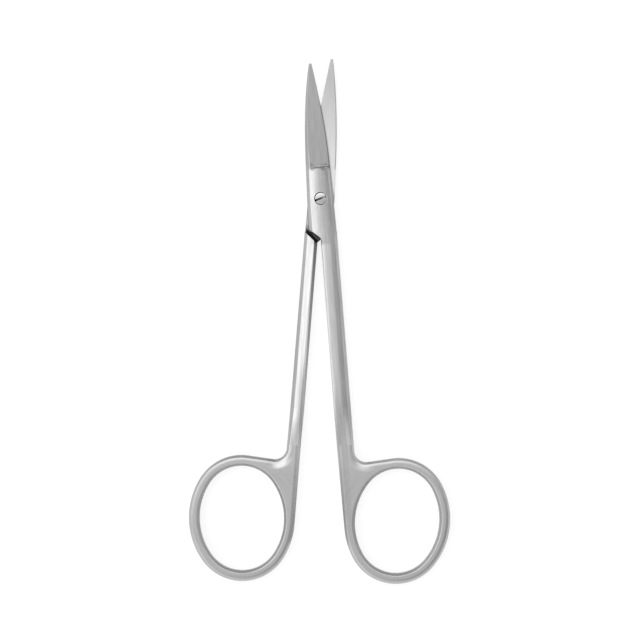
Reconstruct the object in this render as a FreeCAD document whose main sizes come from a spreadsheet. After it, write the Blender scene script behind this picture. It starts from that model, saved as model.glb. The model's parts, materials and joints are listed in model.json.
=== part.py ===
import FreeCAD, Part
import math
import os
import Sketcher

# Iris scissors, millimetres. The pair lies flat on Z = 0 with the blade tips towards +Y, and the origin
# is under the middle of its footprint. Each half is drawn about the screw axis in its closed position,
# ring on the -X side, with the plane where the two halves slide on each other at Z = 0. The upper half
# is the same drawing turned over about the Y axis.
os.makedirs("parts", exist_ok=True)
doc = FreeCAD.newDocument("iris_scissors")
sheet = doc.addObject("Spreadsheet::Sheet", "Sizes")


class Dim:
    """A length that keeps both its value and the sheet formula that gives it."""

    def __init__(self, value, text):
        self.value = float(value)
        self.text = text

    def joined(self, other, sign, value):
        text = other.text if isinstance(other, Dim) else repr(float(other))
        return Dim(value, f"({self.text} {sign} {text})")

    def __add__(self, other):
        return self.joined(other, "+", self.value + number(other))

    def __sub__(self, other):
        return self.joined(other, "-", self.value - number(other))

    def __mul__(self, other):
        return self.joined(other, "*", self.value * number(other))

    def __truediv__(self, other):
        return self.joined(other, "/", self.value / number(other))

    def __rmul__(self, other):
        return self * other

    def __neg__(self):
        return Dim(-self.value, f"(-1 * {self.text})")


def number(size):
    return size.value if isinstance(size, Dim) else float(size)


def root(size):
    return Dim(math.sqrt(size.value), f"sqrt({size.text})")


def cosine(angle):
    return Dim(math.cos(math.radians(angle.value)), f"cos({angle.text} * 1deg)")


def sine(angle):
    return Dim(math.sin(math.radians(angle.value)), f"sin({angle.text} * 1deg)")


class Sizes:
    """The rows of the sheet, one attribute for each alias."""


D = Sizes()
sizes = {
    "pivot_side": 0.27,  # screw axis to the right of the middle of the footprint
    "pivot_ahead": 26.77,  # screw axis ahead of the middle of the footprint
    "rest_angle": 4.1,  # turn of each half from closed, as the pair lies
    "face_gap": 0.04,  # oil gap between the two sliding faces
    "half_height": 1.5,  # sliding plane to the top of the crown at the joint and shank
    "joint_half": 3.0,  # half width of the joint
    "joint_crown": 0.48,  # rise of the crown across the joint
    "side_flat": 0.3,  # half height of the upright outer side of joint and shank
    "facet": 0.65,  # width of the ground facet along joint and shank
    "joint_taper": 0.25,  # narrowing of the cutting side level with the screw
    "heel_length": 6.6,  # pivot to the end of the joint
    "heel_taper_cut": 0.5,  # narrowing of the joint on the cutting side at the heel
    "heel_taper_spine": 0.2,  # narrowing of the joint on the spine side at the heel
    "lap_corner": 6.9,  # pivot to the start of the slanted lap end
    "lap_slope": 0.861,  # fall of the slanted lap end for each millimetre across
    "lap_chamfer": 0.3,  # small bevel along the slanted lap end
    "shoulder_gap": 0.54,  # space before the shoulder when closed
    "lap_rest": 0.08,  # inner corner of the lap to the start of the shank
    "inner_slant": 0.65,  # how far the inner side of the shank leans over its height
    "near_facet": 0.3,  # small facet on the inner edge, outer face of the half
    "far_facet": 0.12,  # the same on the other face, at the top of the shank
    "inner_flat": 1.2,  # half height of the inner side at the top of the shank
    "waist_facet": 0.8,  # width of the outer facet at the waist
    "waist_slant": 0.4,  # lean of the inner side at the waist
    "waist_far_facet": 0.5,  # width of the inner facet at the waist, on the face away from the outer one
    "waist_inner_flat": 0.85,  # half height of the inner side at the waist
    "shank_waist": 46.0,  # pivot to the start of the shank taper
    "web_start": 54.0,  # pivot to the start of the flat web
    "web_drop": 0.45,  # web edge below the top of the ring
    "web_radius": 2.6,  # hollow corner between shank and ring
    "ring_half_height": 1.4,  # half height of ring and web
    "ring_facet": 0.6,  # bevel around ring and web
    "ring_brow": 0.4,  # width of the shallow band inside that bevel
    "ring_brow_drop": 0.12,  # part of that bevel that the band takes away
    "ring_half_width": 11.55,  # outer half width of the finger ring
    "ring_half_length": 13.75,  # outer half length of the finger ring
    "ring_end_ease": 0.95,  # outer radius at the two ends of the ring, less than its half width
    "ring_wire": 2.35,  # width of the ring wire
    "edge_land": 0.07,  # thickness left at the cutting edge
    "edge_bevel": 0.25,  # width of the steep bevel at the cutting edge
    "bevel_height": 0.85,  # height of that bevel before the blade is ground
    "back_band": 0.45,  # width of the shallow band beside the facet of the blade back
    "back_band_rise": 0.164,  # rise across that band
    "inner_facet": 0.2,  # facet on the inside of the blade back
    "ground_start": 7.2,  # pivot to the start of the ground face, after its run-out
    "ground_wheel": 0.55,  # hollow radius of the run-out
    "ground_height": 1.0,  # thickness of the blade on the middle line at the heel
    "ground_tip": 0.38,  # the same at the tip
    "ground_tilt": 4.5,  # slope of the ground face towards the cutting edge
    "mid_station": 14.0,  # pivot to the middle blade section
    "mid_cut": 2.1,  # cutting edge from the middle line there
    "mid_spine": 2.48,  # blade back from the middle line there
    "fore_station": 22.0,  # pivot to the forward blade section
    "fore_cut": 1.22,  # cutting edge from the middle line there
    "fore_spine": 1.77,  # blade back from the middle line there
    "fore_share": 0.85,  # facets there, as a share of those at the heel
    "tip_cut": 0.08,  # cutting edge from the middle line at the tip
    "tip_spine": 0.5,  # blade back from the middle line at the tip
    "tip_share": 0.36,  # facets at the tip, as a share of those at the heel
    "lower_reach": 30.6,  # pivot to tip, lower half
    "lower_throat_in": 0.04,  # inner edge at the top of the shank, before the middle line, lower half
    "lower_waist_out": 3.36,  # outer edge of the shank at the waist, lower half
    "lower_waist_in": 0.33,  # inner edge of the shank at the waist, lower half
    "lower_web_out": 3.5,  # outer edge of the shank at the web, lower half
    "lower_web_in": 0.5,  # inner edge of the shank at the web, lower half
    "lower_ring_side": 12.2,  # ring centre to the side of the pivot, lower half
    "lower_ring_down": 70.75,  # ring centre behind the pivot, lower half
    "lower_ring_tilt": 5.5,  # lean of the finger ring away from the shank, lower half
    "upper_reach": 29.6,  # pivot to tip, upper half
    "upper_throat_in": -0.63,  # inner edge at the top of the shank, past the middle line, upper half
    "upper_waist_out": 3.3,  # outer edge of the shank at the waist, upper half
    "upper_waist_in": -0.47,  # inner edge of the shank at the waist, upper half
    "upper_web_out": 3.35,  # outer edge of the shank at the web, upper half
    "upper_web_in": -0.38,  # inner edge of the shank at the web, upper half
    "upper_ring_side": 11.6,  # ring centre to the side of the pivot, upper half
    "upper_ring_down": 71.35,  # ring centre behind the pivot, upper half
    "upper_ring_tilt": 9.5,  # lean of the finger ring away from the shank, upper half
    "screw_shank": 1.8,  # diameter of the screw where the upper half turns on it
    "turn_clearance": 0.04,  # radial play of the upper half on the screw
    "thread_play": 0.01,  # radial space around the threaded end
    "end_bevel": 0.12,  # bevel at the screw end, half of it around the head
    "screw_thread": 1.6,  # diameter of the screw in the lower half
    "screw_head": 2.6,  # diameter of the countersunk head
    "head_rim": 0.1,  # upright rim of the head
    "head_margin": 0.1,  # radial space around the head
    "head_sink": 0.12,  # head below the top of the crown
    "slot_width": 0.45,  # width of the driver slot
    "slot_depth": 0.4,  # depth of the driver slot
    "slot_turn": 20.0,  # turn of the driver slot from the X axis
    "screw_end_sink": 0.1,  # screw end above the underside of the lower half
}
for row, (alias, value) in enumerate(sizes.items(), 1):
    sheet.set(f"A{row}", alias)
    sheet.set(f"B{row}", str(value))
    sheet.setAlias(f"B{row}", alias)
    setattr(D, alias, Dim(value, f"Sizes.{alias}"))
doc.recompute()


def vector(x, y, z=0.0):
    return FreeCAD.Vector(number(x), number(y), number(z))


def drawing(body, name, role, offset=None, turn=None):
    """An empty sketch on one of the body's origin planes, moved along the plane's normal."""
    sketch = body.newObject("Sketcher::SketchObject", name)
    plane = [f for f in body.Origin.OriginFeatures if f.Role == role][0]
    sketch.AttachmentSupport = [(plane, "")]
    sketch.MapMode = "FlatFace"
    if isinstance(offset, Dim):
        sketch.setExpression("AttachmentOffset.Base.z", offset.text)
    if isinstance(turn, Dim):
        sketch.setExpression("AttachmentOffset.Rotation.Angle", turn.text)
    return sketch


def fix(sketch, constraint, size):
    """Add a constraint and bind it to the sheet."""
    index = sketch.addConstraint(constraint)
    if isinstance(size, Dim):
        sketch.setExpression(f"Constraints[{index}]", size.text)


def loop(sketch, corners):
    """Closed outline. A corner is (x, y), or (x, y, radius) when the edge that leaves it is an arc:
    a positive radius has its centre to the left of travel, a negative one to the right."""
    first = sketch.GeometryCount
    heads = []
    for corner, after in zip(corners, corners[1:] + corners[:1]):
        start = vector(corner[0], corner[1])
        stop = vector(after[0], after[1])
        if len(corner) == 2:
            sketch.addGeometry(Part.LineSegment(start, stop))
            heads.append((1, 2))
            continue
        radius = abs(number(corner[2]))
        side = math.copysign(1.0, number(corner[2]))
        chord = stop - start
        reach = math.sqrt(max(radius ** 2 - (chord.Length / 2) ** 2, 0.0))
        left = FreeCAD.Vector(-chord.y, chord.x, 0).normalize()
        centre = (start + stop) * 0.5 + left * (side * reach)
        begin, end = (start, stop) if side > 0 else (stop, start)
        first_angle = math.atan2(begin.y - centre.y, begin.x - centre.x)
        last_angle = math.atan2(end.y - centre.y, end.x - centre.x)
        circle = Part.Circle(centre, FreeCAD.Vector(0, 0, 1), radius)
        sketch.addGeometry(Part.ArcOfCircle(circle, first_angle, last_angle))
        heads.append((1, 2) if side > 0 else (2, 1))
    for i, corner in enumerate(corners):
        here = first + i
        before = first + (i - 1) % len(corners)
        tail = heads[(i - 1) % len(corners)][1]
        head = heads[i][0]
        sketch.addConstraint(Sketcher.Constraint("Coincident", before, tail, here, head))
        fix(sketch, Sketcher.Constraint("DistanceX", -1, 1, here, head, number(corner[0])), corner[0])
        fix(sketch, Sketcher.Constraint("DistanceY", -1, 1, here, head, number(corner[1])), corner[1])
        if len(corner) == 3:
            size = corner[2] if number(corner[2]) > 0 else -corner[2]
            fix(sketch, Sketcher.Constraint("Radius", here, abs(number(corner[2]))), size)


def loft(body, name, kind, sections, ruled):
    feature = body.newObject(kind, name)
    feature.Profile = sections[0]
    feature.Sections = sections[1:]
    feature.Ruled = ruled
    doc.recompute()
    return feature


def pad(body, name, sketch, length, reverse=False, both=False):
    feature = body.newObject("PartDesign::Pad", name)
    feature.Profile = sketch
    feature.setExpression("Length", length.text)
    feature.Reversed = reverse
    feature.Midplane = both
    doc.recompute()
    return feature


def pocket(body, name, sketch, length=None, reverse=False, both=False):
    feature = body.newObject("PartDesign::Pocket", name)
    feature.Profile = sketch
    if length is None:
        feature.Type = "ThroughAll"
    else:
        feature.setExpression("Length", length.text)
    feature.Reversed = reverse
    feature.Midplane = both
    doc.recompute()
    return feature


def edges(feature, keep):
    return [f"Edge{i + 1}" for i, edge in enumerate(feature.Shape.Edges) if keep(edge)]


def chamfer(body, name, base, names, size, other_size=None):
    feature = body.newObject("PartDesign::Chamfer", name)
    feature.Base = (base, names)
    feature.setExpression("Size", size.text)
    if other_size is not None:
        feature.ChamferType = "Two distances"
        feature.setExpression("Size2", other_size.text)
    doc.recompute()
    return feature


def crown_radius(half_chord, rise):
    return (half_chord * half_chord + rise * rise) / (rise * 2)


half_gap = D.face_gap / 2
joint_edge = D.half_height - D.joint_crown


def joint_section(body, name, station, cut, spine):
    """The outer half of the joint: upright side strips, two facets and a crown between them."""
    sketch = drawing(body, name, "XZ_Plane", -station)
    radius = crown_radius((cut + spine) / 2 - D.facet, D.joint_crown)
    loop(sketch, [
        (-cut, -half_gap),
        (-cut, -D.side_flat),
        (D.facet - cut, -joint_edge, radius),
        (spine - D.facet, -joint_edge),
        (spine, -D.side_flat),
        (spine, -half_gap),
    ])
    return sketch


def blade_section(body, name, station, cut, spine, share):
    """The blade before its face is ground: flat inside, cutting edge towards -X, facets along the back."""
    sketch = drawing(body, name, "XZ_Plane", -station)
    inside = D.inner_facet * share
    bevel = D.edge_bevel * share - cut
    back = spine - D.facet * share
    top = (joint_edge + D.back_band_rise) * share
    loop(sketch, [
        (-cut, -half_gap),
        (-cut, -half_gap - D.edge_land),
        (bevel, -D.bevel_height * share),
        (bevel, -top),
        (back - D.back_band * share, -top),
        (back, -joint_edge * share),
        (spine, -D.side_flat * share),
        (spine, -half_gap - inside),
        (spine - inside, -half_gap),
    ])
    return sketch


def shank_section(body, name, station, outer, near, far, flats, facets, edge_heights, crown):
    """Full shank section. near is the inner edge on the half's outer face and far on the other face.
    flats, facets and edge_heights go round the outer side, the near edge and the far edge."""
    sketch = drawing(body, name, "XZ_Plane", station)
    bend = () if crown is None else (crown,)
    loop(sketch, [
        (-outer, flats[0]),
        (-outer, -flats[0]),
        (facets[0] - outer, -edge_heights[0]) + bend,
        (near - facets[1], -edge_heights[1]),
        (near, -flats[1]),
        (far, flats[2]),
        (far - facets[2], edge_heights[2]) + bend,
        (facets[0] - outer, edge_heights[0]),
    ])
    return sketch


def half(name, reach, throat_in, waist_out, waist_in, web_out, web_in, ring_side, ring_down, ring_tilt):
    """One forging: blade, lap joint, shank and finger ring in one piece."""
    body = doc.addObject("PartDesign::Body", name)

    # finger ring and web, one flat outline with an even wire around the finger hole
    end_radius = D.ring_half_width - D.ring_end_ease
    centre_rise = D.ring_half_length - end_radius
    side_radius = ((D.ring_half_width * D.ring_half_width + centre_rise * centre_rise
                    - end_radius * end_radius) / (D.ring_end_ease * 2))
    spread = side_radius - end_radius
    offset = side_radius - D.ring_half_width

    along = cosine(ring_tilt)
    across = sine(ring_tilt)

    def leaning(x, y):
        return x * along - y * across - ring_side, x * across + y * along - ring_down

    def oval(near_radius, far_radius):
        """The four joints between end and side arcs, from the far upper one, anticlockwise."""
        x = offset * near_radius / spread
        y = centre_rise * far_radius / spread
        return leaning(-x, y), leaning(-x, -y), leaning(x, -y), leaning(x, y)

    wide = oval(end_radius, side_radius)
    hole = oval(end_radius - D.ring_wire, side_radius - D.ring_wire)
    end_centre = leaning(0, centre_rise)
    side_centre = leaning(-offset, 0)
    web_y = end_centre[1] + end_radius - D.web_drop
    sketch = drawing(body, name + "_ring_plan", "XY_Plane")
    loop(sketch, [
        (-web_in, -D.web_start),
        (-web_out, -D.web_start),
        (-web_out, web_y + D.web_radius, -D.web_radius),
        (-web_out - D.web_radius, web_y),
        (end_centre[0], end_centre[1] + end_radius, end_radius),
        (*wide[0], side_radius),
        (*wide[1], end_radius),
        (*wide[2], side_radius),
        (side_centre[0] + side_radius, side_centre[1]),
    ])
    loop(sketch, [
        (*hole[0], side_radius - D.ring_wire),
        (*hole[1], end_radius - D.ring_wire),
        (*hole[2], side_radius - D.ring_wire),
        (*hole[3], end_radius - D.ring_wire),
    ])
    ring = pad(body, name + "_ring", sketch, D.ring_half_height * 2, both=True)

    def rim(edge):
        box = edge.BoundBox
        level = abs(abs(box.ZMax) - number(D.ring_half_height)) < 0.001 and box.ZLength < 0.001
        return level and box.YMin < -number(D.web_start) - 0.01
    faceted = chamfer(body, name + "_ring_facets", ring, edges(ring, rim), D.ring_facet)

    # a shallow band falls from the flat of ring and web to the outer facet
    outlines = [face.OuterWire.Edges for face in faceted.Shape.Faces if face.BoundBox.ZLength < 0.001]

    def outer_rim(edge):
        return rim(edge) and any(edge.isSame(other) for outline in outlines for other in outline)
    chamfer(body, name + "_ring_brow", faceted, edges(faceted, outer_rim), D.ring_brow_drop, D.ring_brow)

    # one crown runs on from the joint along both shanks, centred on the middle line of the closed pair
    radius = crown_radius(D.joint_half - D.facet, D.joint_crown)

    def crown_height(side):
        return D.half_height - radius + root(radius * radius - side * side)

    # joint, from the foot of the lap to the heel of the blade
    lap_foot = -D.lap_corner - D.lap_slope * (D.joint_half + throat_in)
    shank_top = D.lap_rest - lap_foot
    loft(body, name + "_joint", "PartDesign::AdditiveLoft", [
        joint_section(body, name + "_joint_foot", -shank_top, D.joint_half, D.joint_half),
        joint_section(body, name + "_joint_middle", 0, D.joint_half - D.joint_taper, D.joint_half),
        joint_section(body, name + "_joint_heel", D.heel_length,
                      D.joint_half - D.heel_taper_cut, D.joint_half - D.heel_taper_spine),
    ], True)

    # slanted end of the lap, which closes against the other half's shoulder
    sketch = drawing(body, name + "_lap_plan", "XY_Plane")
    loop(sketch, [
        (-throat_in, lap_foot),
        (-throat_in, -shank_top - 1),
        (D.joint_half + 1, -shank_top - 1),
        (D.joint_half + 1, -D.lap_corner),
        (D.joint_half, -D.lap_corner),
    ])
    slant = pocket(body, name + "_lap_slant", sketch, D.half_height * 2, both=True)

    def slanted(edge):
        box = edge.BoundBox
        low = box.ZMax < -number(joint_edge) + 0.05
        return low and box.XLength > 1.0 and 0.5 < box.YLength < 3.0 and box.YMin > number(lap_foot) - 0.01
    chamfer(body, name + "_lap_bevel", slant, edges(slant, slanted), D.lap_chamfer)

    # shank between joint and ring
    throat_near = -throat_in
    throat_far = throat_near - D.inner_slant
    waist_near = -waist_in
    waist_far = waist_near - D.waist_slant
    web_edge = D.ring_half_height - D.ring_facet
    loft(body, name + "_shank", "PartDesign::AdditiveLoft", [
        shank_section(body, name + "_shank_top", shank_top, D.joint_half, throat_near, throat_far,
                      (D.side_flat, D.inner_flat, D.inner_flat), (D.facet, D.near_facet, D.far_facet),
                      (joint_edge, crown_height(throat_near - D.near_facet),
                       crown_height(throat_far - D.far_facet)), radius),
        shank_section(body, name + "_shank_waist", D.shank_waist, waist_out, waist_near, waist_far,
                      (D.side_flat, D.inner_flat, D.waist_inner_flat),
                      (D.waist_facet, D.near_facet, D.waist_far_facet),
                      (crown_height(waist_out - D.waist_facet), crown_height(waist_near - D.near_facet),
                       crown_height(waist_far - D.waist_far_facet)), radius),
        shank_section(body, name + "_shank_end", D.web_start, web_out, -web_in, -web_in,
                      (web_edge, web_edge, web_edge), (D.ring_facet, D.ring_facet, D.ring_facet),
                      (D.ring_half_height, D.ring_half_height, D.ring_half_height), None),
    ], True)

    # blade, first with a full back
    stations = [
        ("heel", D.heel_length, D.joint_half - D.heel_taper_cut, D.joint_half - D.heel_taper_spine, 1),
        ("mid", D.mid_station, D.mid_cut, D.mid_spine, 1),
        ("fore", D.fore_station, D.fore_cut, D.fore_spine, D.fore_share),
        ("tip", reach, D.tip_cut, D.tip_spine, D.tip_share),
    ]
    loft(body, name + "_blade", "PartDesign::AdditiveLoft", [
        blade_section(body, f"{name}_blade_{label}", station, cut, spine, share)
        for label, station, cut, spine, share in stations
    ], False)

    # ground face, a plane that falls towards the tip and the cutting edge and runs out in a hollow
    slope = (D.ground_height - D.ground_tip) / (reach - D.ground_start)
    wheel_back = D.ground_start - D.ground_wheel
    outside = -D.half_height * 2
    sketch = drawing(body, name + "_ground_plan", "YZ_Plane")
    sketch.AttachmentOffset = FreeCAD.Placement(
        FreeCAD.Vector(), FreeCAD.Rotation(FreeCAD.Vector(1, 0, 0), number(D.ground_tilt)))
    sketch.setExpression("AttachmentOffset.Rotation.Angle", D.ground_tilt.text)
    loop(sketch, [
        (wheel_back, outside),
        (wheel_back, -D.ground_height - D.ground_wheel, -D.ground_wheel),
        (D.ground_start, -D.ground_height),
        (reach + 1, slope - D.ground_tip),
        (reach + 1, outside),
    ])
    pocket(body, name + "_ground_face", sketch, D.joint_half * 4, both=True)

    # shoulder: full height block on the shank side of the slant
    sketch = drawing(body, name + "_shoulder_section", "XZ_Plane", shank_top)
    loop(sketch, [
        (-D.joint_half, -half_gap),
        ((throat_near + throat_far) / 2, -half_gap),
        (throat_far, D.inner_flat),
        (throat_far - D.far_facet, crown_height(throat_far - D.far_facet), radius),
        (D.facet - D.joint_half, joint_edge),
        (-D.joint_half, D.side_flat),
    ])
    pad(body, name + "_shoulder", sketch, shank_top - D.lap_corner + 1, reverse=True)

    # shoulder face, parallel to the slanted end of the other half
    shoulder_top = -D.lap_corner - D.shoulder_gap
    shoulder_foot = shoulder_top - D.lap_slope * (D.joint_half + throat_near)
    sketch = drawing(body, name + "_shoulder_plan", "XY_Plane", -half_gap)
    loop(sketch, [
        (throat_near, shoulder_foot),
        (D.joint_half, shoulder_foot),
        (D.joint_half, 0),
        (-D.joint_half - 1, 0),
        (-D.joint_half - 1, shoulder_top),
        (-D.joint_half, shoulder_top),
    ])
    pocket(body, name + "_shoulder_face", sketch, D.half_height * 2, reverse=True)
    return body


def turned_cut(body, name, profile):
    """Cut a profile, drawn in the XZ plane, all the way round the Z axis."""
    sketch = drawing(body, name + "_profile", "XZ_Plane")
    loop(sketch, profile)
    feature = body.newObject("PartDesign::Groove", name)
    feature.Profile = sketch
    feature.ReferenceAxis = (sketch, ["V_Axis"])
    feature.Angle = 360
    doc.recompute()
    return feature


head_top = D.half_height - D.head_sink
bore = D.screw_shank / 2 + D.turn_clearance
recess = D.screw_head / 2 + D.head_margin
cone_start = head_top - D.head_rim - (D.screw_head - D.screw_shank) / 2 - (D.head_margin - D.turn_clearance)

# lower half, threaded for the screw
lower = half("lower_half", D.lower_reach, D.lower_throat_in, D.lower_waist_out, D.lower_waist_in,
             D.lower_web_out, D.lower_web_in, D.lower_ring_side, D.lower_ring_down, D.lower_ring_tilt)
turned_cut(lower, "lower_half_thread_hole", [
    (0, D.half_height),
    (0, -D.half_height * 2),
    (D.screw_thread / 2 + D.thread_play, -D.half_height * 2),
    (D.screw_thread / 2 + D.thread_play, D.half_height),
])

# upper half, bored and countersunk so that it turns on the screw
upper = half("upper_half", D.upper_reach, D.upper_throat_in, D.upper_waist_out, D.upper_waist_in,
             D.upper_web_out, D.upper_web_in, D.upper_ring_side, D.upper_ring_down, D.upper_ring_tilt)
turned_cut(upper, "upper_half_countersink", [
    (0, D.half_height),
    (0, -D.half_height * 2),
    (recess, -D.half_height * 2),
    (recess, -cone_start - (recess - bore)),
    (bore, -cone_start),
    (bore, D.half_height),
])

# joint screw: slotted countersunk head, smooth shank in the upper half, threaded end in the lower half
screw = doc.addObject("PartDesign::Body", "joint_screw")
profile = drawing(screw, "joint_screw_profile", "XZ_Plane")
loop(profile, [
    (0, D.screw_end_sink - D.half_height),
    (D.screw_thread / 2 - D.end_bevel, D.screw_end_sink - D.half_height),
    (D.screw_thread / 2, D.screw_end_sink + D.end_bevel - D.half_height),
    (D.screw_thread / 2, -half_gap),
    (D.screw_shank / 2, -half_gap),
    (D.screw_shank / 2, head_top - D.head_rim - (D.screw_head - D.screw_shank) / 2),
    (D.screw_head / 2, head_top - D.head_rim),
    (D.screw_head / 2, head_top - D.end_bevel / 2),
    (D.screw_head / 2 - D.end_bevel / 2, head_top),
    (0, head_top),
])
turning = screw.newObject("PartDesign::Revolution", "joint_screw_turning")
turning.Profile = profile
turning.ReferenceAxis = (profile, ["V_Axis"])
turning.Angle = 360
doc.recompute()
slot_plan = drawing(screw, "joint_screw_slot_plan", "XY_Plane", head_top, D.slot_turn)
loop(slot_plan, [
    (-D.screw_head, -D.slot_width / 2),
    (D.screw_head, -D.slot_width / 2),
    (D.screw_head, D.slot_width / 2),
    (-D.screw_head, D.slot_width / 2),
])
pocket(screw, "joint_screw_slot", slot_plan, D.slot_depth)

# rest pose: both halves turned open by the same angle, the crowns touching Z = 0
pivot = vector(D.pivot_side, D.pivot_ahead, D.half_height)
about_z = FreeCAD.Vector(0, 0, 1)
turn_over = FreeCAD.Rotation(FreeCAD.Vector(0, 1, 0), 180)
lower.Placement = FreeCAD.Placement(pivot, FreeCAD.Rotation(about_z, -number(D.rest_angle)))
upper.Placement = FreeCAD.Placement(pivot, FreeCAD.Rotation(about_z, number(D.rest_angle)) * turn_over)
screw.Placement = FreeCAD.Placement(pivot, FreeCAD.Rotation())
doc.recompute()

for item in doc.Objects:
    if "Invalid" in item.State or "Error" in item.State:
        raise RuntimeError(f"{item.Name} did not build: {item.State}")
for body in (lower, upper, screw):
    if body.Shape.isNull() or not body.Shape.isValid() or len(body.Shape.Solids) != 1:
        raise RuntimeError(f"{body.Label} is not one valid solid")
    body.Shape.exportStep(f"parts/{body.Label}.step")
    print(body.Label, round(body.Shape.Volume, 2), body.Shape.BoundBox)
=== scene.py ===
import json
import math

import bpy
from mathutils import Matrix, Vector

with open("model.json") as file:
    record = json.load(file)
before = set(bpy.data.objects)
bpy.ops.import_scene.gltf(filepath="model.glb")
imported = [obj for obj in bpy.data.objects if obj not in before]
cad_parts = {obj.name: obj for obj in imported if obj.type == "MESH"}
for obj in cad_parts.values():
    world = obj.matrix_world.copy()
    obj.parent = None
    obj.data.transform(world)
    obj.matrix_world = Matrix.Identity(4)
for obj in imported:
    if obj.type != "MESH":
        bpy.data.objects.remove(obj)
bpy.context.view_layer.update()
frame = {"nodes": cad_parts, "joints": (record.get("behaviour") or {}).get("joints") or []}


# Lower half: the forging that lies underneath, with the left ring and the right blade. It is stainless
# steel, ground on a belt along the blade and shank and around the ring, and then satin finished. Use has
# polished its edges a little and rubbed a strip of the shank dull. Painted into its colour are shade on the
# leaning faces, in the crevices, in the gap at the foot of the shoulder and on the inner side of the shank,
# highlights on the inner edge of the shank and in the screw seat, and a reflection on the blade's inner face.
MM = 0.001
hinge = frame["joints"][0]["pos_m"]
rest_turn = math.radians(4.1)

# places along each half, in millimetres from the screw: the blade is ahead, the ring behind
heel = 7.0
lap_end_start = -6.9
shoulder_start = -7.44
lap_foot = -10.0
web_top = -52.0
ring_top = -57.0
screw_seat = 1.46

# widths of the rounded edges, in millimetres
shank_edge = 0.25
blade_edge = 0.12

# tones of the steel, what grinding and polish add or take away, and painted light and shade
satin_tone = 0.60
ground_duller = 0.18
# painted reflection on the inner face of the blade, lighter at the heel than at the tip
inner_face_sheen_at_heel = 0.29
inner_face_sheen_at_tip = -0.04
ring_duller = 0.04
# painted shade on the leaning faces, those of the ring, the shallow ring band and the joint's side facet
bevel_shade = 0.27
ring_bevel_shade = 0.17
ring_band_shade = 0.13
joint_side_shade = 0.16
# painted highlights on the inner side of the shank and in the screw seat
inner_side_highlight = 0.12
seat_highlight = 0.32
worn_lighter = 0.05


def node(tree, kind, **settings):
    made = tree.nodes.new(kind)
    for key, value in settings.items():
        setattr(made, key, value)
    return made


def plug(tree, sockets, values):
    """Each socket gets its value: linked where that is another socket, and set where it is a number."""
    for socket, value in zip(sockets, values):
        if isinstance(value, bpy.types.NodeSocket):
            tree.links.new(value, socket)
        else:
            socket.default_value = value


def math_node(tree, operation, *inputs):
    made = node(tree, "ShaderNodeMath", operation=operation)
    plug(tree, made.inputs, inputs)
    return made.outputs[0]


def total(tree, *terms):
    made = terms[0]
    for term in terms[1:]:
        made = math_node(tree, "ADD", made, term)
    return made


def product(tree, *factors):
    made = factors[0]
    for factor in factors[1:]:
        made = math_node(tree, "MULTIPLY", made, factor)
    return made


def rest_of(tree, share):
    return math_node(tree, "SUBTRACT", 1.0, share)


def blend(tree, share, first, second):
    return total(tree, first, product(tree, share, math_node(tree, "SUBTRACT", second, first)))


def distance(tree, x, y):
    return math_node(tree, "SQRT", total(tree, product(tree, x, x), product(tree, y, y)))


def ramp(tree, value, low, high, to_low=0.0, to_high=1.0, kind="SMOOTHSTEP"):
    """value between low and high, mapped to between to_low and to_high and held beyond them."""
    made = node(tree, "ShaderNodeMapRange", interpolation_type=kind)
    tree.links.new(value, made.inputs["Value"])
    made.inputs["From Min"].default_value = low
    made.inputs["From Max"].default_value = high
    made.inputs["To Min"].default_value = to_low
    made.inputs["To Max"].default_value = to_high
    return made.outputs["Result"]


def pack_vector(tree, x, y, z):
    made = node(tree, "ShaderNodeCombineXYZ")
    plug(tree, made.inputs, (x, y, z))
    return made.outputs[0]


def split_vector(tree, vector):
    made = node(tree, "ShaderNodeSeparateXYZ")
    tree.links.new(vector, made.inputs[0])
    return made.outputs


def noise(tree, vector, scale, detail=2.0, roughness=0.5):
    made = node(tree, "ShaderNodeTexNoise")
    tree.links.new(vector, made.inputs["Vector"])
    made.inputs["Scale"].default_value = scale
    made.inputs["Detail"].default_value = detail
    made.inputs["Roughness"].default_value = roughness
    return made.outputs["Fac"]


def relief(tree, height, distance_mm, strength, normal):
    """The normal of a surface whose height varies by up to distance_mm."""
    made = node(tree, "ShaderNodeBump")
    made.inputs["Strength"].default_value = strength
    made.inputs["Distance"].default_value = distance_mm * MM
    tree.links.new(height, made.inputs["Height"])
    tree.links.new(normal, made.inputs["Normal"])
    return made.outputs[0]


def rounded_edges(tree, radius):
    made = node(tree, "ShaderNodeBevel", samples=8)
    plug(tree, [made.inputs["Radius"]], [radius])
    return made.outputs[0]


def grey_metal(tree, tone, rough, normal):
    """A bare metal surface of one grey tone, put into the material's output."""
    colour = node(tree, "ShaderNodeCombineColor")
    plug(tree, colour.inputs, (tone, tone, tone))
    shader = node(tree, "ShaderNodeBsdfPrincipled")
    shader.inputs["Metallic"].default_value = 1.0
    tree.links.new(colour.outputs[0], shader.inputs["Base Color"])
    plug(tree, [shader.inputs["Roughness"]], [rough])
    tree.links.new(normal, shader.inputs["Normal"])
    output = node(tree, "ShaderNodeOutputMaterial")
    tree.links.new(shader.outputs[0], output.inputs["Surface"])


def empty_material(name):
    material = bpy.data.materials.new(name)
    material.use_nodes = True
    material.node_tree.nodes.clear()
    return material


def local_millimetres(tree, place, turn):
    """Coordinates in millimetres in a frame at place, turned about Z."""
    where = node(tree, "ShaderNodeTexCoord")
    mapping = node(tree, "ShaderNodeMapping", vector_type="TEXTURE")
    tree.links.new(where.outputs["Object"], mapping.inputs["Vector"])
    mapping.inputs["Location"].default_value = place
    mapping.inputs["Rotation"].default_value = (0, 0, turn)
    mapping.inputs["Scale"].default_value = (MM, MM, MM)
    return mapping.outputs["Vector"]


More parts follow.
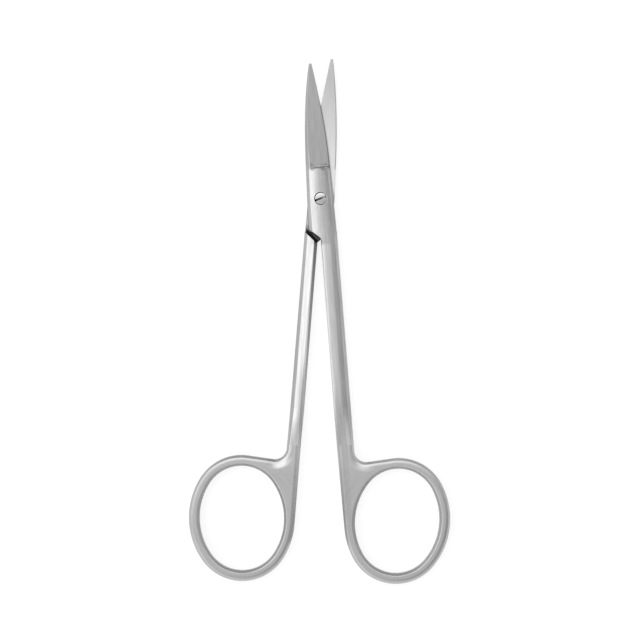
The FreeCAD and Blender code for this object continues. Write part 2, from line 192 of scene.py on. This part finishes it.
def belt_grain(tree, across, along, up, ring_centre, on_ring):
    """Fine streaks, broad streaks and single scratches that run along the half and go around the ring."""
    ring_radius = 11.0
    from_centre_x = math_node(tree, "SUBTRACT", across, ring_centre[0])
    from_centre_y = math_node(tree, "SUBTRACT", along, ring_centre[1])
    around = product(tree, math_node(tree, "ARCTAN2", from_centre_y, from_centre_x), ring_radius)
    side = blend(tree, on_ring, across, distance(tree, from_centre_x, from_centre_y))
    length = blend(tree, on_ring, along, around)

    fine = noise(tree, pack_vector(
        tree, product(tree, side, 7.0), product(tree, length, 0.3), product(tree, up, 7.0)), 1.0, 3.0, 0.6)
    broad = noise(tree, pack_vector(tree, product(tree, side, 2.2), product(tree, length, 0.16), up), 1.0)
    slanted = total(tree, product(tree, side, 11.0), product(tree, length, 0.9))
    scratch_lines = noise(tree, pack_vector(tree, slanted, product(tree, length, 0.5), up), 1.0, 1.0)
    return fine, broad, ramp(tree, scratch_lines, 0.70, 0.76)


def hollow_of_web(tree, across, along, corner, depth):
    """Height of the web, which dips by depth below and beside the hollow corner between shank and ring."""
    corner_radius, dip_radius = 2.9, 4.9
    corner_x = math_node(tree, "SUBTRACT", across, corner[0])
    corner_y = math_node(tree, "SUBTRACT", along, corner[1])
    towards_shank = product(tree, corner_x, math.copysign(1.0, -corner[0]))
    bearing = math_node(tree, "ARCTAN2", corner_y, towards_shank)
    within = product(tree, ramp(tree, bearing, -2.1, -1.2), ramp(tree, bearing, -0.2, -1.1))
    reach = distance(tree, corner_x, corner_y)
    return product(tree, ramp(tree, reach, corner_radius, dip_radius, -depth, 0.0), within)


def forged_steel(name, turn, ring_centre, web_corner, web_dip, inner_highlight, shade_and_rubbing_at):
    """Satin steel whose grain runs along the blade and shank and around the finger ring.
    web_corner is the centre of the hollow corner between shank and ring, where the web dips by web_dip.
    The argument after web_dip is how much a painted highlight brightens the edge on the inner side of the
    shank. The last argument gives the share of painted shade and rubbed dullness at a point, from its place
    on the half."""
    material = empty_material(name)
    tree = material.node_tree
    local = local_millimetres(tree, hinge, turn)
    across, along, up = split_vector(tree, local)

    # regions of the half
    on_ring = ramp(tree, along, ring_top, ring_top - 4.0)
    ground = ramp(tree, along, heel, heel + 0.5)
    sliding = ramp(tree, math_node(tree, "ABSOLUTE", up), 0.04, 0.02)
    inner_edge = product(
        tree, ramp(tree, along, lap_foot + 0.4, lap_foot - 0.4),
        ramp(tree, along, web_top - 23.0, web_top - 8.0),
        ramp(tree, math_node(tree, "ABSOLUTE", across), 1.6, 1.2))
    outer_side = product(
        tree, ramp(tree, across, 1.6, 2.1), ramp(tree, along, -22.0, -34.0),
        ramp(tree, along, web_top - 10.0, web_top - 4.0))
    joint_side = product(
        tree, ramp(tree, across, 2.2, 2.4), ramp(tree, up, -0.02, 0.02),
        ramp(tree, along, lap_foot - 2.0, lap_foot + 6.0))
    in_seat = ramp(tree, distance(tree, across, along), screw_seat, screw_seat - 0.06)

    # edges, slightly rounded and polished by wear, and the leaning faces: bevels and the shallow ring band
    facing = node(tree, "ShaderNodeNewGeometry")
    flatness = math_node(tree, "ABSOLUTE", split_vector(tree, facing.outputs["Normal"])[2])
    bevel = ramp(tree, flatness, 0.86, 0.80)
    ring_band = product(tree, ramp(tree, flatness, 0.996, 0.989), rest_of(tree, bevel),
                        ramp(tree, along, web_top - 1.0, web_top - 8.0))
    width = product(tree, ramp(tree, along, lap_foot - 2.0, lap_foot + 0.5, shank_edge * MM, blade_edge * MM),
                    ramp(tree, inner_edge, 0.0, 1.0, 1.0, 0.2))
    rounded = rounded_edges(tree, width)
    turned_by = node(tree, "ShaderNodeVectorMath", operation="DOT_PRODUCT")
    tree.links.new(rounded, turned_by.inputs[0])
    tree.links.new(facing.outputs["Normal"], turned_by.inputs[1])
    wear = ramp(tree, turned_by.outputs["Value"], 0.995, 0.93)

    # relief: the dip of the web, then grain, grit and scratches
    fine, broad, scratches = belt_grain(tree, across, along, up, ring_centre, on_ring)
    grit = noise(tree, local, 6.0, 2.0, 0.7)
    dip = hollow_of_web(tree, across, along, web_corner, web_dip)
    dished = relief(tree, dip, 1.0, 1.0, rounded)
    scored = math_node(tree, "SUBTRACT", total(tree, product(tree, fine, 0.6), product(tree, grit, 0.4)),
                       product(tree, scratches, 0.5))
    surface = relief(tree, scored, 0.006, 0.25, dished)

    # tone of the clean steel by how it is ground and polished, with a painted reflection on the inner face,
    # painted highlights on the inner edge and in the screw seat, and painted shade on the leaning faces
    base_tone = total(tree, satin_tone, product(tree, ground, rest_of(tree, sliding), -ground_duller))
    # painted reflection: the inner face is lighter, most at the heel and fading towards the tip
    inner_face = product(tree, sliding, ramp(tree, along, 0.5, 2.5))
    base_tone = total(tree, base_tone, product(tree, inner_face, ramp(
        tree, along, 2.0, 26.0, inner_face_sheen_at_heel, inner_face_sheen_at_tip, "LINEAR")))
    base_tone = total(tree, base_tone, product(tree, on_ring, -ring_duller))
    # painted highlight along the inner edge of the shank
    base_tone = total(tree, base_tone, product(tree, inner_edge, ramp(
        tree, along, web_top, web_top + 12.0, 0.07, inner_side_highlight)))
    base_tone = total(tree, base_tone, product(tree, inner_edge, ramp(tree, across, 0.2, -0.35, 0.0, inner_highlight)))
    # painted shade on the leaning faces, the shallow ring band and the joint's side facet
    leaning_shade = product(
        tree, bevel, ramp(tree, on_ring, 0.0, 1.0, bevel_shade, ring_bevel_shade),
        ramp(tree, ground, 0.0, 1.0, 1.0, 0.2), ramp(tree, outer_side, 0.0, 1.0, 1.0, 0.5),
        rest_of(tree, inner_edge))
    leaning_shade = total(tree, leaning_shade, product(tree, joint_side, bevel, joint_side_shade),
                   product(tree, ring_band, ring_band_shade))
    base_tone = product(tree, base_tone, rest_of(tree, leaning_shade))
    # painted highlight in the screw seat
    base_tone = total(tree, base_tone, product(tree, in_seat, seat_highlight))

    # streaks, worn edges, painted shade in the crevices, and the painted shade and rubbed strips of each half
    mottle = product(tree, ramp(tree, broad, 0.3, 0.7, -0.045, 0.045, "LINEAR"),
                     ramp(tree, along, web_top - 6.0, web_top + 2.0, 0.35, 1.0),
                     ramp(tree, ground, 0.0, 1.0, 1.0, 0.5))
    tone = total(tree, mottle, ramp(tree, fine, 0.3, 0.7, -0.03, 0.03, "LINEAR"),
                 product(tree, wear, worn_lighter), base_tone)
    # painted shade: the steel is darkened where ambient occlusion finds surfaces close by, except in the
    # screw seat and below the lap
    crevice_shade = node(tree, "ShaderNodeAmbientOcclusion", samples=12)
    crevice_shade.inputs["Distance"].default_value = 0.6 * MM
    open_air = math_node(tree, "MAXIMUM", in_seat, ramp(tree, along, lap_foot - 1.0, lap_foot - 4.0))
    shade = math_node(tree, "MAXIMUM", open_air, ramp(tree, crevice_shade.outputs["AO"], 0.4, 0.92, 0.3, 1.0))
    # painted shade and rubbed strips at the places given for each half
    shade_and_rubbing = shade_and_rubbing_at(tree, across, along, up)
    tone = product(tree, tone, shade, math_node(tree, "MAXIMUM", rest_of(tree, shade_and_rubbing), 0.03))
    rough = total(tree, ramp(tree, grit, 0.3, 0.7, 0.19, 0.25, "LINEAR"), product(tree, wear, -0.05),
                  product(tree, ground, 0.07), product(tree, shade_and_rubbing, 0.3))
    grey_metal(tree, tone, rough, surface)
    return material


def ahead_of_slant(tree, across, along, slant_start):
    """How far a point lies ahead of a slanted end of the lap, square to it. The slant starts on the outer
    side of the joint, at slant_start along the half."""
    half_width, slope = 3.0, 0.861
    fall = product(tree, total(tree, across, half_width), slope)
    past_start = math_node(tree, "SUBTRACT", total(tree, along, fall), slant_start)
    return math_node(tree, "DIVIDE", past_start, math.hypot(1.0, slope))


def shoulder_shade_and_rubbing(tree, across, along, up):
    """Painted shade: black on the sliding face at the foot of the shoulder, where the gap lies in shade, and
    darker on the inner side below it. Also a strip of the shank above the ring that fingers have rubbed dull."""
    ahead = ahead_of_slant(tree, across, along, shoulder_start)
    # painted shade: black in the gap at the foot of the shoulder
    at_foot = total(tree, ramp(tree, ahead, 0.95, 0.65, 0.0, 0.5), ramp(tree, ahead, 1.7, 1.2, 0.0, 0.48))
    gap_shade = product(tree, at_foot, ramp(tree, ahead, -0.12, -0.02), ramp(tree, across, -2.95, -2.6),
                     ramp(tree, up, 0.25, 0.05))
    # painted shade on the inner side of the shank below the lap
    inner_side_shade = product(tree, ramp(tree, across, -0.78, -0.66), ramp(tree, up, -1.4, -1.2),
                         ramp(tree, along, -6.0, lap_foot + 0.6))
    fading = product(tree, ramp(tree, along, -45.0, lap_foot + 0.5, 0.55, 0.85, "LINEAR"),
                     ramp(tree, along, web_top - 5.0, web_top + 2.0))
    rubbed = product(tree, ramp(tree, across, -2.1, -1.4), ramp(tree, along, -33.0, -43.0, 0.0, 0.32),
                     ramp(tree, along, web_top - 4.0, web_top + 4.0))
    on_shank = math_node(tree, "MAXIMUM", product(tree, inner_side_shade, fading), rubbed)
    return math_node(tree, "MAXIMUM", gap_shade, on_shank)


lower = frame["nodes"]["lower_half"]
lower.data.materials.clear()
lower.data.materials.append(forged_steel(
    "lower_steel", -rest_turn, (-12.2, -70.75), (-6.1, -54.86), 0.3, 0.0, shoulder_shade_and_rubbing))


# Upper half: the mirror twin that lies on top, with the right ring and the left blade. It is ground and
# finished in the same way and has the same painted light and shade. Shade is also painted left of the screw
# head, in a wavy line where the ground face ends and on the lap end.
def seat_shade_and_rubbing(tree, across, along, up):
    """Painted shade left of the screw head in its seat, in a wavy line in the run-out of the ground face and
    along the lap end, and a strip of the shank above the ring that the thumb has rubbed dull."""
    # painted shadow left of the screw head
    head_shadow = product(tree, ramp(tree, distance(tree, across, along), screw_seat, screw_seat - 0.06),
                      ramp(tree, across, 0.9, -0.5))
    # painted shade in a wavy line where the ground face ends
    waver = product(tree, noise(tree, pack_vector(tree, across, along, 0.0), 0.9), 2.4)
    place = total(tree, along, waver)
    run_out_shade = product(tree, ramp(tree, place, heel + 0.4, heel + 0.9),
                      ramp(tree, place, heel + 2.0, heel + 1.2),
                      ramp(tree, up, 0.3, 0.5, 0.0, 0.45), ramp(tree, across, -2.4, -1.9))
    # painted shade along the lap end
    ahead = ahead_of_slant(tree, across, along, lap_end_start)
    lap_end_shade = product(tree, ramp(tree, ahead, -0.15, -0.05), ramp(tree, ahead, 0.42, 0.12),
                      ramp(tree, across, -0.45, -0.75, 0.0, 0.6))
    rubbed = product(tree, ramp(tree, across, 2.2, 0.8), ramp(tree, along, -40.0, -50.0, 0.0, 0.26),
                     ramp(tree, along, -78.0, -64.0), ramp(tree, across, -0.4, 0.0))
    worst = math_node(tree, "MAXIMUM", math_node(tree, "MAXIMUM", head_shadow, lap_end_shade), run_out_shade)
    return math_node(tree, "MAXIMUM", worst, rubbed)


upper = frame["nodes"]["upper_half"]
upper.data.materials.clear()
upper.data.materials.append(forged_steel(
    "upper_steel", rest_turn, (11.6, -71.35), (5.95, -55.49), 0.18, 0.22, seat_shade_and_rubbing))


# Joint screw: a small slotted screw of stainless steel that holds the two halves together. It is turned on a
# lathe, so its marks run in circles around the axis, and its top is very slightly domed. Below the top of the
# head, painted shade darkens the slot and the side of the head towards the left, and a painted highlight
# brightens the outer edge of the head.
slot_floor = 1.25
head_rim = 1.28
dome_drop = 0.07


def turned_steel(name):
    material = empty_material(name)
    tree = material.node_tree
    x, y, z = split_vector(tree, local_millimetres(tree, hinge, 0.0))
    radius = distance(tree, x, y)
    rings = noise(tree, pack_vector(tree, product(tree, radius, 14.0), 0.0, product(tree, z, 6.0)), 1.0)
    domed = relief(tree, product(tree, radius, radius, -dome_drop), 1.0, 1.0, rounded_edges(tree, 0.08 * MM))
    surface = relief(tree, rings, 0.008, 0.3, domed)

    # painted light and shade: a highlight on the outer edge of the head, and shade below its top towards the
    # left
    below_top = ramp(tree, z, slot_floor + 0.11, slot_floor)
    rim_highlight = product(tree, ramp(tree, radius, head_rim - 0.08, head_rim), below_top)
    slot_shade = product(tree, below_top, ramp(tree, x, 1.4, -0.4))
    tone = total(tree, ramp(tree, rings, 0.3, 0.7, 0.56, 0.66, "LINEAR"), product(tree, rim_highlight, 0.3))
    tone = product(tree, tone, ramp(tree, slot_shade, 0.0, 1.0, 1.0, 0.12))
    grey_metal(tree, tone, 0.22, surface)
    return material


screw = frame["nodes"]["joint_screw"]
screw.data.materials.clear()
screw.data.materials.append(turned_steel("screw_turned_steel"))


# Floor: a plain white table top. It shows as white to the camera and in the steel, and keeps the soft shadow
# that the pair casts.
floor_width = 6.0
paper_grey = 0.3
paper_glow = 0.78
bpy.ops.mesh.primitive_plane_add(size=floor_width, location=(0, 0, 0))
floor = bpy.context.active_object
floor.name = "floor"
paper = empty_material("white_paper")
tree = paper.node_tree
diffuse = node(tree, "ShaderNodeBsdfDiffuse")
diffuse.inputs["Color"].default_value = (paper_grey, paper_grey, paper_grey, 1)
glow = node(tree, "ShaderNodeEmission")
path = node(tree, "ShaderNodeLightPath")
seen = math_node(tree, "MAXIMUM", path.outputs["Is Camera Ray"], path.outputs["Is Glossy Ray"])
tree.links.new(product(tree, seen, paper_glow), glow.inputs["Strength"])
both = node(tree, "ShaderNodeAddShader")
tree.links.new(diffuse.outputs[0], both.inputs[0])
tree.links.new(glow.outputs[0], both.inputs[1])
output = node(tree, "ShaderNodeOutputMaterial")
tree.links.new(both.outputs[0], output.inputs["Surface"])
floor.data.materials.append(paper)


# Studio: a white tent around the table. It is brightest on the left and ahead, greyer overhead and behind,
# and dark to the right, and near the horizon it is pale all around.
brightest = 1.7
darkest = 0.42
skirt_level = 0.9
skirt_lean_right = -0.1
skirt_lean_ahead = -0.3
world = bpy.data.worlds.new("studio")
bpy.context.scene.world = world
world.use_nodes = True
tree = world.node_tree
tree.nodes.clear()
direction = node(tree, "ShaderNodeTexCoord")
to_right, ahead, high = split_vector(tree, direction.outputs["Generated"])


def tones(lean, stops):
    """Brightness by the lean of the direction, from -1 at one horizon to 1 at the other, in smooth steps."""
    made = node(tree, "ShaderNodeValToRGB")
    tree.links.new(math_node(tree, "MULTIPLY_ADD", lean, 0.5, 0.5), made.inputs[0])
    made.color_ramp.interpolation = "EASE"
    while len(made.color_ramp.elements) < len(stops):
        made.color_ramp.elements.new(0.5)
    for element, (place, level) in zip(made.color_ramp.elements, stops):
        element.position = place / 2 + 0.5
        element.color = (level, level, level, 1)
    return made.outputs["Color"]


sideways = tones(to_right, [
    (-1, 0.95), (-0.88, 1.2), (-0.74, 1.75), (-0.5, 1.65), (-0.4, 1.35), (-0.27, 1.12), (-0.1, 1.0),
    (0, 0.92), (0.15, 0.82), (0.3, 0.75), (0.45, 0.67), (0.6, 0.53), (0.74, 0.34), (0.92, 0.5), (1, 0.8)])
endways = tones(ahead, [
    (-1, 1.0), (-0.6, 0.85), (-0.3, 0.85), (-0.17, 0.7), (-0.07, 0.74), (0.0, 1.0), (0.06, 0.9), (0.15, 1.0),
    (0.25, 1.5), (0.4, 1.9), (0.6, 1.7), (0.8, 0.45), (0.93, 0.4), (1, 0.6)])
tent = math_node(tree, "MAXIMUM", math_node(
    tree, "MINIMUM", product(tree, sideways, endways), brightest), darkest)
skirt = math_node(tree, "MULTIPLY_ADD", to_right, skirt_lean_right, math_node(
    tree, "MULTIPLY_ADD", ahead, skirt_lean_ahead, skirt_level))
low = ramp(tree, high, 0.35, 0.1)
level = total(tree, product(tree, tent, rest_of(tree, low)), product(tree, skirt, low))
light = node(tree, "ShaderNodeBackground")
light.inputs["Color"].default_value = (1, 1, 1, 1)
tree.links.new(level, light.inputs["Strength"])
backdrop = node(tree, "ShaderNodeBackground")
backdrop.inputs["Color"].default_value = (1, 1, 1, 1)
path = node(tree, "ShaderNodeLightPath")
mix = node(tree, "ShaderNodeMixShader")
tree.links.new(path.outputs["Is Camera Ray"], mix.inputs[0])
tree.links.new(light.outputs[0], mix.inputs[1])
tree.links.new(backdrop.outputs[0], mix.inputs[2])
output = node(tree, "ShaderNodeOutputWorld")
tree.links.new(mix.outputs[0], output.inputs["Surface"])


# Camera: straight above the pair as it lies, with the tips at the top of the picture. It stands far back, so
# that the rings and the blades are seen from the same side.
view_width = 139.8 * MM
view_centre = Vector((0.095 * MM, 0.275 * MM, 1.5 * MM))
camera_data = bpy.data.cameras.new("camera")
camera_data.sensor_width = 36
camera_data.lens = 180
camera = bpy.data.objects.new("camera", camera_data)
bpy.context.scene.collection.objects.link(camera)
camera.location = view_centre + Vector((0, 0, view_width * camera_data.lens / camera_data.sensor_width))
bpy.context.scene.camera = camera
bpy.context.scene.view_settings.view_transform = "Standard"
